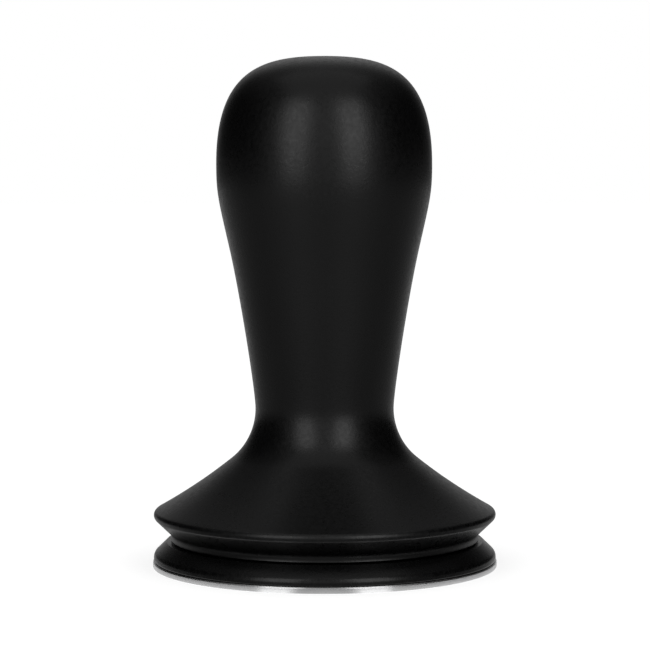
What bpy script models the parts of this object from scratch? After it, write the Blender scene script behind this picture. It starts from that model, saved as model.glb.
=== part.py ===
"""Espresso tamper: a turned black handle on a round base with a steel sole.

The handle is one turned piece: a rounded bulb for the palm, a taper, a waist for two fingers and a
flared skirt. A stud fixed in it screws into the hub of the base, and the two part at the root of
the V groove. The base is a black ring with a web and a hub. A stepped steel sole is held up under
the web by countersunk screws that the skirt covers, so the tamping face is left plain.

Heights are measured up from the tamping face, which is the plane z = 0, and every piece but the
screws of the sole is turned about the Z axis.
"""

import math

import bpy
from mathutils import Vector
from mathutils.geometry import interpolate_bezier

MM = 0.001

# Overall sizes
OVERALL_HEIGHT = 85.5 * MM
SOLE_DIAMETER = 58.0 * MM
FIT_GAP = 0.3 * MM  # clearance between pieces that seat on, or fit into, one another
EDGE_BREAK = 0.4 * MM  # chamfer on machined corners

# Bulb of the handle, with drops measured down from the crown
BULB_DIAMETER = 36.1 * MM
BULB_DROP = 18.0 * MM
CROWN_REACH = 9.6 * MM  # how far the flat of the crown carries outwards
BULB_UPPER_REACH = 16.1 * MM
BULB_LOWER_REACH = 4.9 * MM

# Taper between bulb and waist
TAPER_DIAMETER = 31.8 * MM
TAPER_DROP = 32.0 * MM
TAPER_ANGLE = math.radians(12.7)  # from the vertical
TAPER_UPPER_REACH = 8.2 * MM
TAPER_LOWER_REACH = 8.0 * MM

# Waist and skirt
NECK_DIAMETER = 23.26 * MM
NECK_RISE = 21.95 * MM  # above the handle's seat
NECK_UPPER_REACH = 2.7 * MM
NECK_ROUND = 11.0 * MM
NECK_SWEEP = math.radians(51.0)  # turn from the vertical at the waist to the head of the skirt
SKIRT_ANGLE = math.radians(60.3)  # from the vertical, where the skirt meets its rim
RIM_SETBACK = 0.2 * MM  # both black rims stand this far inside the edge of the sole
RIM_ROUND = 0.88 * MM

# V groove between skirt and base
GROOVE_DEPTH = 2.95 * MM
GROOVE_ANGLE = math.radians(46.0)  # each flank, from the vertical
GROOVE_ROUND = 0.7 * MM
GROOVE_LAND = 0.83 * MM  # upright strip at the root, above the handle's seat

# Base
BASE_THICKNESS = 3.05 * MM  # from its underside to the ring on which the handle seats
BASE_RIM_RISE = 0.26 * MM
BASE_RIM_ROUND = 1.34 * MM
BASE_EDGE_ROUND = 0.2 * MM
SEAT_WIDTH = 2.55 * MM
PILOT_WALL = 2.7 * MM  # round the sole's spigot
WEB_THICKNESS = 3.2 * MM
HUB_WALL = 4.0 * MM
HUB_HEIGHT = 8.0 * MM  # above the web
HUB_FILLET = 1.0 * MM

# Sole
SOLE_EDGE = 1.0 * MM
SOLE_CHAMFER = 0.15 * MM
SPIGOT_HEIGHT = 3.4 * MM  # of the step that fits up into the base

# Seal ring between sole and base
SEAL_SECTION = 1.6 * MM
SEAL_WALL = 1.8 * MM  # of the base, between the spigot and the seal's groove

# Stud and thrust washer
STUD_DIAMETER = 8.0 * MM
STUD_LENGTH = 32.0 * MM
STUD_CHAMFER = 0.8 * MM
STUD_HEX = 4.0 * MM  # across the flats of its socket
STUD_HEX_DEPTH = 4.5 * MM
STUD_STAND_OFF = 0.8 * MM  # from the stud's lower end to the sole
DRILL_POINT = math.radians(59.0)  # half the point angle of the drilled bore
WASHER_THICKNESS = 1.2 * MM
WASHER_CHAMFER = 0.2 * MM

# Screws that hold the sole
SCREW_COUNT = 3
SCREW_DIAMETER = 3.0 * MM
SCREW_LENGTH = 6.0 * MM
SCREW_HEAD_DIAMETER = 5.8 * MM
SCREW_HEAD_EDGE = 0.25 * MM
SCREW_POINT = 0.4 * MM
SCREW_HEX = 2.0 * MM
SCREW_HEX_DEPTH = 1.2 * MM
SCREW_SINK = 0.1 * MM  # of the head below the face of the web

# Facets
TURN_STEPS = 48
SMALL_STEPS = 24
SEAL_STEPS = 8
SHARP_ANGLE = math.radians(35.0)

# Radii that follow from the sizes, from the rim inwards
rim_radius = SOLE_DIAMETER / 2 - RIM_SETBACK
groove_radius = rim_radius - GROOVE_DEPTH
recess_radius = groove_radius - SEAT_WIDTH
pilot_radius = recess_radius - FIT_GAP
socket_radius = pilot_radius - PILOT_WALL
spigot_radius = socket_radius - FIT_GAP
seal_room = SEAL_SECTION / 2 + FIT_GAP
seal_radius = socket_radius + SEAL_WALL + seal_room
bore_radius = STUD_DIAMETER / 2 + FIT_GAP
hub_radius = bore_radius + HUB_WALL
well_radius = hub_radius + FIT_GAP
screw_circle = (hub_radius + spigot_radius) / 2

# Heights that follow from the sizes, from the tamping face up
base_bottom = SOLE_EDGE + FIT_GAP
seal_height = base_bottom + SEAL_SECTION / 2
spigot_top = SOLE_EDGE + SPIGOT_HEIGHT
base_seat = base_bottom + BASE_THICKNESS
handle_seat = base_seat + FIT_GAP
web_bottom = spigot_top + FIT_GAP
web_top = web_bottom + WEB_THICKNESS
screw_top = web_top - SCREW_SINK
hub_top = web_top + HUB_HEIGHT
washer_bottom = hub_top + FIT_GAP
washer_top = washer_bottom + WASHER_THICKNESS
stud_bottom = spigot_top + STUD_STAND_OFF
stud_top = stud_bottom + STUD_LENGTH


# Scene

def clear_scene():
    for item in list(bpy.data.objects):
        bpy.data.objects.remove(item, do_unlink=True)


def new_collection(name):
    group = bpy.data.collections.new(name)
    bpy.context.scene.collection.children.link(group)
    return group


def put_in(item, group, parent=None):
    for old in list(item.users_collection):
        old.objects.unlink(item)
    group.objects.link(item)
    item.parent = parent
    return item


def new_frame(name, group, height, parent=None):
    """Empty on the axis, for the pieces that move together."""
    frame = bpy.data.objects.new(name, None)
    frame.empty_display_size = SOLE_DIAMETER / 2
    frame.location.z = height - (parent.matrix_world.translation.z if parent else 0.0)
    put_in(frame, group, parent)
    bpy.context.view_layer.update()
    return frame


def finish(piece, group, frame, colour, roughness, metallic):
    """Gives a piece its material and hangs it on its frame, where it stands."""
    surface = bpy.data.materials.new(piece.name + "_finish")
    surface.use_nodes = True
    shader = surface.node_tree.nodes["Principled BSDF"]
    shader.inputs["Base Color"].default_value = (*colour, 1.0)
    shader.inputs["Roughness"].default_value = roughness
    shader.inputs["Metallic"].default_value = metallic
    piece.data.materials.append(surface)
    put_in(piece, group, frame)
    piece.location.z -= frame.matrix_world.translation.z


# Outlines are lists of (radius, height) that run down the outer side and up the inner one

def arc(radius, height, size, start, end, steps):
    """Points round a centre, with angle 0 outwards and a quarter turn upwards."""
    points = []
    for step in range(steps + 1):
        angle = start + (end - start) * step / steps
        points.append((radius + size * math.cos(angle), height + size * math.sin(angle)))
    return points


def curve(start, start_handle, end_handle, end, steps):
    """Points along a cubic curve between two knots with their handles."""
    knots = [Vector((r, 0.0, z)) for r, z in (start, start_handle, end_handle, end)]
    return [(point.x, point.z) for point in interpolate_bezier(*knots, steps + 1)]


def along(point, angle, reach):
    """The point that lies a reach further down, on a line that leans outwards by an angle."""
    return (point[0] + reach * math.sin(angle), point[1] - reach * math.cos(angle))


def fillet(before, corner, after, size, steps):
    """Arc of a given radius between the lines from a corner to the points before and after it."""
    tip = Vector(corner)
    back = (Vector(before) - tip).normalized()
    ahead = (Vector(after) - tip).normalized()
    half = back.angle(ahead) / 2
    centre = tip + (back + ahead).normalized() * size / math.sin(half)
    first = tip + back * size / math.tan(half) - centre
    last = tip + ahead * size / math.tan(half) - centre
    start = math.atan2(first.y, first.x)
    sweep = math.remainder(math.atan2(last.y, last.x) - start, math.tau)
    return arc(centre.x, centre.y, size, start, start + sweep, steps)


def chain(*stretches):
    """Joins stretches of outline, without the points that repeat where they meet."""
    outline = []
    for stretch in stretches:
        for point in stretch:
            if not outline or math.dist(point, outline[-1]) > 1e-6:
                outline.append(point)
    return outline


# Solids

def shade(mesh):
    mesh.shade_smooth()
    mesh.set_sharp_from_angle(angle=SHARP_ANGLE)


def turned(name, outline, steps, seat, ring=False):
    """Solid of revolution of an outline, with its origin on the axis at the height of its seat."""
    count = len(outline)
    edges = [(i, (i + 1) % count) for i in range(count if ring else count - 1)]
    profile = bpy.data.meshes.new(name + "_profile")
    profile.from_pydata([(r, 0.0, z - seat) for r, z in outline], edges, [])
    sketch = bpy.data.objects.new(name + "_profile", profile)
    bpy.context.scene.collection.objects.link(sketch)
    lathe = sketch.modifiers.new("Turn", "SCREW")
    lathe.axis = "Z"
    lathe.angle = math.tau
    lathe.steps = steps
    lathe.render_steps = steps
    lathe.use_merge_vertices = True
    lathe.merge_threshold = 1e-6
    scene = bpy.context.evaluated_depsgraph_get()
    solid = bpy.data.meshes.new_from_object(sketch.evaluated_get(scene))
    bpy.data.objects.remove(sketch, do_unlink=True)
    solid.name = name
    shade(solid)
    piece = bpy.data.objects.new(name, solid)
    piece.location.z = seat
    return piece


def as_cutter(piece, group):
    piece.hide_render = True
    piece.display_type = "WIRE"
    return put_in(piece, group)


def hex_socket(name, across, depth, place, group):
    """Cutter for a hexagon socket, as deep above a place as below it."""
    bpy.ops.mesh.primitive_cylinder_add(
        vertices=6, radius=across / math.sqrt(3), depth=2 * depth, location=place
    )
    socket = bpy.context.object
    socket.name = name
    return as_cutter(socket, group)


def cut(piece, cutter):
    hole = piece.modifiers.new(cutter.name, "BOOLEAN")
    hole.operation = "DIFFERENCE"
    hole.solver = "EXACT"
    hole.object = cutter


# Handle, stud and washer

def grip_outline():
    """Outer side of the handle from the crown to the middle of the waist."""
    bulb = (BULB_DIAMETER / 2, OVERALL_HEIGHT - BULB_DROP)
    taper = (TAPER_DIAMETER / 2, OVERALL_HEIGHT - TAPER_DROP)
    neck = (NECK_DIAMETER / 2, handle_seat + NECK_RISE)
    return chain(
        curve(
            (0.0, OVERALL_HEIGHT),
            (CROWN_REACH, OVERALL_HEIGHT),
            along(bulb, 0.0, -BULB_UPPER_REACH),
            bulb,
            13,
        ),
        curve(
            bulb,
            along(bulb, 0.0, BULB_LOWER_REACH),
            along(taper, -TAPER_ANGLE, -TAPER_UPPER_REACH),
            taper,
            7,
        ),
        curve(
            taper,
            along(taper, -TAPER_ANGLE, TAPER_LOWER_REACH),
            along(neck, 0.0, -NECK_UPPER_REACH),
            neck,
            7,
        ),
    )


def skirt_outline():
    """Outer side of the handle from the waist over the rim to the root of the groove."""
    waist = arc(
        NECK_DIAMETER / 2 + NECK_ROUND,
        handle_seat + NECK_RISE,
        NECK_ROUND,
        math.pi,
        math.pi + NECK_SWEEP,
        8,
    )
    rim_centre = rim_radius - RIM_ROUND
    flank_radius = rim_centre + RIM_ROUND * math.cos(GROOVE_ANGLE)
    root = (groove_radius, handle_seat + GROOVE_LAND)
    flank_height = root[1] + (flank_radius - groove_radius) / math.tan(GROOVE_ANGLE)
    rim = arc(
        rim_centre,
        flank_height + RIM_ROUND * math.sin(GROOVE_ANGLE),
        RIM_ROUND,
        SKIRT_ANGLE,
        -GROOVE_ANGLE,
        7,
    )
    head, foot = waist[-1], rim[0]
    third = math.dist(head, foot) / 3
    slope = curve(head, along(head, NECK_SWEEP, third), along(foot, SKIRT_ANGLE, -third), foot, 5)
    seat = (groove_radius, handle_seat)
    return chain(waist, slope, rim, fillet(rim[-1], root, seat, GROOVE_ROUND, 4), [seat])


def socket_outline():
    """Inner side of the handle, from its seat up to the point of the drilled bore."""
    recess_top = web_top + FIT_GAP
    well_top = washer_top + FIT_GAP
    bore_top = stud_top + FIT_GAP
    return [
        (recess_radius + EDGE_BREAK, handle_seat),
        (recess_radius, handle_seat + EDGE_BREAK),
        (recess_radius, recess_top),
        (well_radius + HUB_FILLET, recess_top),
        (well_radius, recess_top + HUB_FILLET),
        (well_radius, well_top),
        (bore_radius + EDGE_BREAK, well_top),
        (bore_radius, well_top + EDGE_BREAK),
        (bore_radius, bore_top),
        (0.0, bore_top + bore_radius / math.tan(DRILL_POINT)),
    ]


def stud_outline():
    radius = STUD_DIAMETER / 2
    return [
        (0.0, stud_top),
        (radius - STUD_CHAMFER, stud_top),
        (radius, stud_top - STUD_CHAMFER),
        (radius, stud_bottom + STUD_CHAMFER),
        (radius - STUD_CHAMFER, stud_bottom),
        (0.0, stud_bottom),
    ]


def washer_outline():
    return [
        (bore_radius, washer_top),
        (hub_radius - WASHER_CHAMFER, washer_top),
        (hub_radius, washer_top - WASHER_CHAMFER),
        (hub_radius, washer_bottom + WASHER_CHAMFER),
        (hub_radius - WASHER_CHAMFER, washer_bottom),
        (bore_radius, washer_bottom),
    ]


# Base, sole and screws

def base_outline():
    rim = arc(
        rim_radius - BASE_RIM_ROUND,
        base_bottom + BASE_RIM_RISE,
        BASE_RIM_ROUND,
        GROOVE_ANGLE,
        0.0,
        5,
    )
    edge = arc(
        rim_radius - BASE_EDGE_ROUND,
        base_bottom + BASE_EDGE_ROUND,
        BASE_EDGE_ROUND,
        0.0,
        -math.pi / 2,
        3,
    )
    cone_foot = rim[0]
    cone_head = along(cone_foot, GROOVE_ANGLE, (cone_foot[1] - base_seat) / math.cos(GROOVE_ANGLE))
    hub_foot = (hub_radius, web_top)
    seal_roof = seal_height + seal_room
    return chain(
        [
            (bore_radius + EDGE_BREAK, hub_top),
            (hub_radius - EDGE_BREAK, hub_top),
            (hub_radius, hub_top - EDGE_BREAK),
        ],
        fillet((hub_radius, hub_top), hub_foot, (pilot_radius, web_top), HUB_FILLET, 3),
        [
            (pilot_radius - EDGE_BREAK, web_top),
            (pilot_radius, web_top - EDGE_BREAK),
            (pilot_radius, base_seat),
        ],
        fillet((pilot_radius, base_seat), cone_head, cone_foot, BASE_EDGE_ROUND, 2),
        rim,
        edge,
        [
            (seal_radius + seal_room, base_bottom),
            (seal_radius + seal_room, seal_roof),
            (seal_radius - seal_room, seal_roof),
            (seal_radius - seal_room, base_bottom),
            (socket_radius + EDGE_BREAK, base_bottom),
            (socket_radius, base_bottom + EDGE_BREAK),
            (socket_radius, web_bottom),
            (bore_radius, web_bottom),
            (bore_radius, hub_top - EDGE_BREAK),
        ],
    )


def sole_outline():
    edge = SOLE_DIAMETER / 2
    return [
        (0.0, spigot_top),
        (spigot_radius - EDGE_BREAK, spigot_top),
        (spigot_radius, spigot_top - EDGE_BREAK),
        (spigot_radius, SOLE_EDGE),
        (edge - SOLE_CHAMFER, SOLE_EDGE),
        (edge, SOLE_EDGE - SOLE_CHAMFER),
        (edge, SOLE_CHAMFER),
        (edge - SOLE_CHAMFER, 0.0),
        (0.0, 0.0),
    ]


def screw_outline():
    head = SCREW_HEAD_DIAMETER / 2
    shank = SCREW_DIAMETER / 2
    cone_top = screw_top - SCREW_HEAD_EDGE
    tip = screw_top - SCREW_LENGTH
    return [
        (0.0, screw_top),
        (head, screw_top),
        (head, cone_top),
        (shank, cone_top - (head - shank)),
        (shank, tip + SCREW_POINT),
        (shank - SCREW_POINT, tip),
        (0.0, tip),
    ]


def screw_hole_outline():
    """The screw's own outline, grown by the fit, and open above the web."""
    head = SCREW_HEAD_DIAMETER / 2 + FIT_GAP
    shank = SCREW_DIAMETER / 2 + FIT_GAP
    # moving the head's 45 degree cone out by the gap, square to its side, lowers it by this much
    drop = FIT_GAP * (math.sqrt(2) - 1)
    cone_top = screw_top - SCREW_HEAD_EDGE - drop
    tip = screw_top - SCREW_LENGTH - FIT_GAP
    return [
        (0.0, web_top + FIT_GAP),
        (head, web_top + FIT_GAP),
        (head, cone_top),
        (shank, cone_top - (head - shank)),
        (shank, tip),
        (0.0, tip),
    ]


def build():
    clear_scene()
    tamper = new_collection("espresso_tamper")
    cutters = new_collection("tamper_cutters")
    base_frame = new_frame("base_frame", tamper, 0.0)
    turn_frame = new_frame("turn_frame", tamper, washer_bottom, base_frame)
    rise_frame = new_frame("rise_frame", tamper, handle_seat, turn_frame)
    black = (0.012, 0.012, 0.013)
    steel = (0.60, 0.60, 0.61)
    nylon = (0.80, 0.79, 0.74)
    rubber = (0.02, 0.02, 0.02)

    whole = chain(grip_outline(), skirt_outline(), socket_outline())
    handle = turned("handle", whole, TURN_STEPS, handle_seat)
    finish(handle, tamper, rise_frame, black, 0.42, 0.0)

    stud = turned("stud", stud_outline(), SMALL_STEPS, stud_bottom)
    cut(stud, hex_socket("stud_hex", STUD_HEX, STUD_HEX_DEPTH, (0.0, 0.0, stud_bottom), cutters))
    finish(stud, tamper, rise_frame, steel, 0.35, 1.0)

    washer = turned("thrust_washer", washer_outline(), SMALL_STEPS, washer_bottom, ring=True)
    finish(washer, tamper, turn_frame, nylon, 0.5, 0.0)

    base = turned("base", base_outline(), TURN_STEPS, base_bottom, ring=True)
    finish(base, tamper, base_frame, black, 0.42, 0.0)

    sole = turned("sole", sole_outline(), TURN_STEPS, 0.0)
    finish(sole, tamper, base_frame, steel, 0.28, 1.0)

    bpy.ops.mesh.primitive_torus_add(
        major_radius=seal_radius,
        minor_radius=SEAL_SECTION / 2,
        major_segments=TURN_STEPS,
        minor_segments=SEAL_STEPS,
        location=(0.0, 0.0, seal_height),
    )
    seal = bpy.context.object
    seal.name = "seal_ring"
    shade(seal.data)
    finish(seal, tamper, base_frame, rubber, 0.7, 0.0)

    for number in range(1, SCREW_COUNT + 1):
        angle = math.pi / 2 + math.tau * number / SCREW_COUNT
        place = (screw_circle * math.cos(angle), screw_circle * math.sin(angle), screw_top)
        screw = turned(f"sole_screw_{number}", screw_outline(), SMALL_STEPS, screw_top)
        screw.location = place
        cut(screw, hex_socket(f"screw_hex_{number}", SCREW_HEX, SCREW_HEX_DEPTH, place, cutters))
        finish(screw, tamper, base_frame, steel, 0.35, 1.0)
        hole = turned(f"screw_hole_{number}", screw_hole_outline(), SMALL_STEPS, screw_top)
        hole.location = place
        as_cutter(hole, cutters)
        cut(base, hole)
        cut(sole, hole)

    bpy.context.view_layer.update()


build()
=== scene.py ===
# %% [markdown]
# # An espresso tamper
# A tamper presses ground coffee into a level puck before the water goes through it. This one is a
# turned black handle that screws onto a round base, and the base carries a thin steel sole. The
# solids come from a CAD model. This script gives each of them its finished shape and its finish,
# and sets up a small studio. The model is loaded first, because every piece is built in its frame:
# metres, +Z up, with the tamping face on the plane z = 0.

# %% Load the solids
import math

import bmesh
import bpy
from mathutils import Matrix, Vector
from mathutils.geometry import interpolate_bezier


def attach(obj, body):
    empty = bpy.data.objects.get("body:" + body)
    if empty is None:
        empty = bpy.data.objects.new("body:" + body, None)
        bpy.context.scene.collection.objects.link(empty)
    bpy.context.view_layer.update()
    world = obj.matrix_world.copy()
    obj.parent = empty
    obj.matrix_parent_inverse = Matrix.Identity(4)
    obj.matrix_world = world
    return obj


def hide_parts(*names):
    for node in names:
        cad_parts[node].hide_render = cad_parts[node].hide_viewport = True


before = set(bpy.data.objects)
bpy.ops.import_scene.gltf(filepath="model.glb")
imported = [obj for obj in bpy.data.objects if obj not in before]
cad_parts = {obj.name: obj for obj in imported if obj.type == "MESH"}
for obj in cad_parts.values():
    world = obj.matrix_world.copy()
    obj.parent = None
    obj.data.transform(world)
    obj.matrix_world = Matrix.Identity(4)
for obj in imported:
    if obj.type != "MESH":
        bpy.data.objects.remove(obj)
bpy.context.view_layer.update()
scene = bpy.context.scene
MM = 0.001


def in_mm(corner):
    return [round(value / MM, 2) for value in corner]


print("solids:", ", ".join(sorted(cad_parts)))

# %% [markdown]
# ## The camera
# The picture was taken with a long lens from about the height of the bulb, so the rims show as flat
# ellipses and the bulb is not swollen by perspective. The camera's height and dip were fitted to those
# ellipses: the lower one is rounder than the upper one, because it lies further below the lens. The
# camera goes in first, so that every later step can be looked at from the right place.

# %% Camera
CAMERA_DISTANCE = 450.0 * MM
CAMERA_HEIGHT = 74.67 * MM
CAMERA_ASIDE = 0.095 * MM
CAMERA_DIP = math.radians(4.337)
CAMERA_ROLL = math.radians(-0.095)
SENSOR_WIDTH = 36.0
FOCAL_LENGTH = 148.86

view = bpy.data.cameras.new("camera")
view.sensor_width = SENSOR_WIDTH
view.lens = FOCAL_LENGTH
camera = bpy.data.objects.new("camera", view)
scene.collection.objects.link(camera)
camera.matrix_world = (
    Matrix.Translation((CAMERA_ASIDE, -CAMERA_DISTANCE, CAMERA_HEIGHT))
    @ Matrix.Rotation(math.pi / 2 - CAMERA_DIP, 4, "X")
    @ Matrix.Rotation(CAMERA_ROLL, 4, "Z")
)
scene.camera = camera
scene.view_settings.view_transform = "Standard"
print("field of view:", round(math.degrees(view.angle), 2), "degrees")

# %% [markdown]
# ## Helpers for node trees
# Node trees are usually drawn in an editor. A script can make the same trees, and then every link
# can be read in order. Four helpers keep that short: one fills a node's inputs, one adds a node, one
# adds a Math node, and one starts a node group with named sockets.

# %% Node helpers
def fill(made, inputs):
    """Fills a node's inputs with plain values or links."""
    for key, value in inputs.items():
        if isinstance(value, bpy.types.NodeSocket):
            made.id_data.links.new(value, made.inputs[key])
        else:
            made.inputs[key].default_value = value


def node(tree, kind, inputs=None, **settings):
    """Adds a node with its settings, and fills its inputs."""
    made = tree.nodes.new(kind)
    for name, value in settings.items():
        setattr(made, name, value)
    fill(made, inputs or {})
    return made


def calc(tree, operation, *values):
    """Adds a Math node and gives back its result."""
    return node(tree, "ShaderNodeMath", dict(enumerate(values)), operation=operation).outputs[0]


def new_group(name, kind, inputs, outputs):
    """Starts a node group with named sockets, and gives back the tree, its inputs and its end."""
    tree = bpy.data.node_groups.new(name, kind)
    for title, (socket, value) in inputs.items():
        made = tree.interface.new_socket(title, in_out="INPUT", socket_type="NodeSocket" + socket)
        if value is not None:
            made.default_value = value
    for title, socket in outputs.items():
        tree.interface.new_socket(title, in_out="OUTPUT", socket_type="NodeSocket" + socket)
    return tree, tree.nodes.new("NodeGroupInput").outputs, tree.nodes.new("NodeGroupOutput")


# %% [markdown]
# ## Grain of the blasted coat
# The black is a thin hard coat on aluminium that was blasted with fine beads first. It has no grain
# of its own colour: what shows is a fine speckle in the highlights, because every dimple tips the
# surface a little. A texture of noise does that when it feeds a Bump node. The grain is a node group,
# because the handle, the base and the rubber ring all use it: the two coats differ in its depth, and
# the rubber's is finer.

# %% Grain group
grain, grain_in, grain_out = new_group(
    "Blasted grain",
    "ShaderNodeTree",
    {"Vector": ("Vector", None), "Size": ("Float", 0.4 * MM)},
    {"Height": "Float", "Tone": "Float"},
)
PATCH_SCALE = 0.6


def noise(tree, vector, scale, **inputs):
    inputs = {"Vector": vector, "Scale": scale, **inputs}
    return node(tree, "ShaderNodeTexNoise", inputs).outputs["Fac"]


def band(tree, value, low, high):
    """Spreads the range from low to high over 0 to 1."""
    return node(
        tree, "ShaderNodeMapRange", {"Value": value, "From Min": low, "From Max": high}
    ).outputs["Result"]


grain_scale = calc(grain, "DIVIDE", 1.0, grain_in["Size"])
patch_scale = calc(grain, "MULTIPLY", grain_scale, PATCH_SCALE)
dimples = noise(grain, grain_in["Vector"], grain_scale, Detail=2.0, Roughness=0.6)
patches = noise(grain, grain_in["Vector"], patch_scale, Detail=3.0)
tone = band(grain, patches, low=0.3, high=0.7)
fill(grain_out, {"Height": dimples, "Tone": tone})
print("grain group:", len(grain.nodes), "nodes")

# %% [markdown]
# ## Marks of handling
# A hand polishes what it holds, rims rub on the counter, and a cloth leaves hairlines. All three are
# faint here, since the photographed tamper is nearly new. The rims are found with an attribute that
# the turned shapes carry, 1 on sharp convex edges and about 0 elsewhere, and noise breaks it up. The
# hairlines are the places where a stretched noise crosses its middle value.

# %% Handling group
handling, hand_in, hand_out = new_group(
    "Handling marks",
    "ShaderNodeTree",
    {"Vector": ("Vector", None), "Edge": ("Float", 0.0)},
    {"Polish": "Float", "Rub": "Float", "Hairline": "Float"},
)


def noise_band(scale, low, high):
    """Noise with its middle range spread from 0 to 1."""
    return band(handling, noise(handling, hand_in["Vector"], scale, Detail=3.0), low, high)


HAIRLINE_WIDTH = 0.004
palm = noise_band(scale=55.0, low=0.42, high=0.68)
flecks = noise_band(scale=1600.0, low=0.45, high=0.75)
stretched = node(
    handling,
    "ShaderNodeMapping",
    {"Vector": hand_in["Vector"], "Rotation": (0.5, 0.35, 0.9), "Scale": (25.0, 900.0, 60.0)},
)
strands = noise(handling, stretched.outputs["Vector"], 1.0)
crossing = calc(handling, "COMPARE", strands, 0.5, HAIRLINE_WIDTH)
sparse = noise_band(scale=70.0, low=0.52, high=0.62)
fill(
    hand_out,
    {
        "Polish": palm,
        "Rub": calc(handling, "MULTIPLY", hand_in["Edge"], flecks),
        "Hairline": calc(handling, "MULTIPLY", crossing, sparse),
    },
)
print("handling group:", len(handling.nodes), "nodes")

# %% [markdown]
# ## The black coat
# The coat is very dark: nearly everything that the camera sees of it is reflected light. So its
# colour hardly matters and its roughness matters most. At about a third, it blurs the two softboxes
# into the soft upright highlights of the photograph. Palm polish lowers it a little, and hairlines
# raise it. The base is a shade smoother than the handle, so one function makes a coat for each.

# %% Black coat
COAT_BLACK = (0.0010, 0.0010, 0.0011, 1.0)
COAT_RUBBED = (0.006, 0.006, 0.0062, 1.0)
COAT_GRAIN = 0.42 * MM
HAIRLINE_ROUGH = 0.06
PALM_SMOOTH = 0.03
EDGE_NAME = "edge"


def new_material(name):
    """Starts a material, and gives back it, its tree, its shader and its Object coordinates."""
    made = bpy.data.materials.new(name)
    made.use_nodes = True
    tree = made.node_tree
    shader = tree.nodes["Principled BSDF"]
    place = node(tree, "ShaderNodeTexCoord").outputs["Object"]
    return made, tree, shader, place


def use(tree, group, inputs):
    return node(tree, "ShaderNodeGroup", inputs, node_tree=group).outputs


def spread(tree, value, low, high):
    """Takes a mask from 0 to 1 over to another range."""
    return node(
        tree, "ShaderNodeMapRange", {"Value": value, "To Min": low, "To Max": high}
    ).outputs["Result"]


def mixed(tree, mask, first, second):
    """Colour that goes from the first to the second with a mask."""
    colour_a, colour_b, result = 6, 7, 2
    ends = {"Factor": mask, colour_a: first, colour_b: second}
    return node(tree, "ShaderNodeMix", ends, data_type="RGBA").outputs[result]


def bumped(tree, height, strength, depth):
    sizes = {"Height": height, "Strength": strength, "Distance": depth}
    return node(tree, "ShaderNodeBump", sizes).outputs["Normal"]


def coat_finish(name, rough, depth, shine):
    """Black coat; rough is the range of its roughness, and depth is that of its grain."""
    made, tree, shader, place = new_material(name)
    edge = node(tree, "ShaderNodeAttribute", attribute_name=EDGE_NAME).outputs["Fac"]
    speckle = use(tree, grain, {"Vector": place, "Size": COAT_GRAIN})
    marks = use(tree, handling, {"Vector": place, "Edge": edge})
    worn = calc(
        tree,
        "SUBTRACT",
        spread(tree, marks["Hairline"], 0.0, HAIRLINE_ROUGH),
        spread(tree, marks["Polish"], 0.0, PALM_SMOOTH),
    )
    fill(
        shader,
        {
            "Base Color": mixed(tree, marks["Rub"], COAT_BLACK, COAT_RUBBED),
            "Roughness": calc(tree, "ADD", spread(tree, speckle["Tone"], *rough), worn),
            "Normal": bumped(tree, speckle["Height"], 1.0, depth),
            "Specular IOR Level": shine,
        },
    )
    print(name + ":", len(tree.nodes), "nodes")
    return made


handle_coat = coat_finish("handle_coat", rough=(0.27, 0.385), depth=0.018 * MM, shine=0.5)
base_coat = coat_finish("base_coat", rough=(0.22, 0.31), depth=0.014 * MM, shine=0.45)

# %% [markdown]
# ## Outlines
# Nearly every piece of a tamper is made on a lathe, so its shape is an outline turned about an axis.
# An outline here is a list of (radius, height) in millimetres that runs down the outer side and up
# the inner one. Curves come from Bezier handles, as in Blender's curve editor. Corners get a small
# round, with a point close by on either side, so that flat faces stay flat under smooth shading.

# %% Outline helpers
ROUND_STEPS = 5
HOLD = 0.3
LONGEST_HOLD = 0.1
SAME_SPOT = 1e-4


def arc(centre, size, start, end, steps):
    """Points round a centre; angles are in degrees, with 0 outwards and 90 upwards."""
    points = []
    for step in range(steps + 1):
        angle = math.radians(start + (end - start) * step / steps)
        points.append((centre[0] + size * math.cos(angle), centre[1] + size * math.sin(angle)))
    return points


def bezier(start, start_handle, end_handle, end, steps):
    knots = [Vector((r, z, 0.0)) for r, z in (start, start_handle, end_handle, end)]
    return [(point.x, point.y) for point in interpolate_bezier(*knots, steps + 1)]


def lean(point, angle, reach):
    """The point a reach further down on a line that leans outwards by an angle in degrees."""
    angle = math.radians(angle)
    return (point[0] + reach * math.sin(angle), point[1] - reach * math.cos(angle))


def rounded(corners, steps=ROUND_STEPS):
    """Outline through corners (radius, height, round); a round of 0 keeps a corner sharp."""
    points = []
    for number, (r, z, size) in enumerate(corners):
        tip = Vector((r, z))
        if not size:
            points.append((r, z))
            continue
        back = (Vector(corners[number - 1][:2]) - tip).normalized()
        ahead = (Vector(corners[(number + 1) % len(corners)][:2]) - tip).normalized()
        half = back.angle(ahead) / 2
        reach = size / math.tan(half)
        centre = tip + (back + ahead).normalized() * size / math.sin(half)
        first, last = tip + back * reach, tip + ahead * reach
        start = math.degrees(math.atan2(*(first - centre).yx))
        turn = math.degrees(math.atan2(*(last - centre).yx)) - start
        turn = (turn + 180.0) % 360.0 - 180.0
        hold = min(size * HOLD, LONGEST_HOLD)
        points.append(tuple(first + back * hold))
        points += arc(centre, size, start, start + turn, steps)
        points.append(tuple(last + ahead * hold))
    return points


def joined(*stretches):
    """One outline from several, without the points that repeat where they meet."""
    outline = []
    for stretch in stretches:
        for point in stretch:
            if not outline or math.dist(point[:2], outline[-1][:2]) > SAME_SPOT:
                outline.append(point)
    return outline


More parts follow.
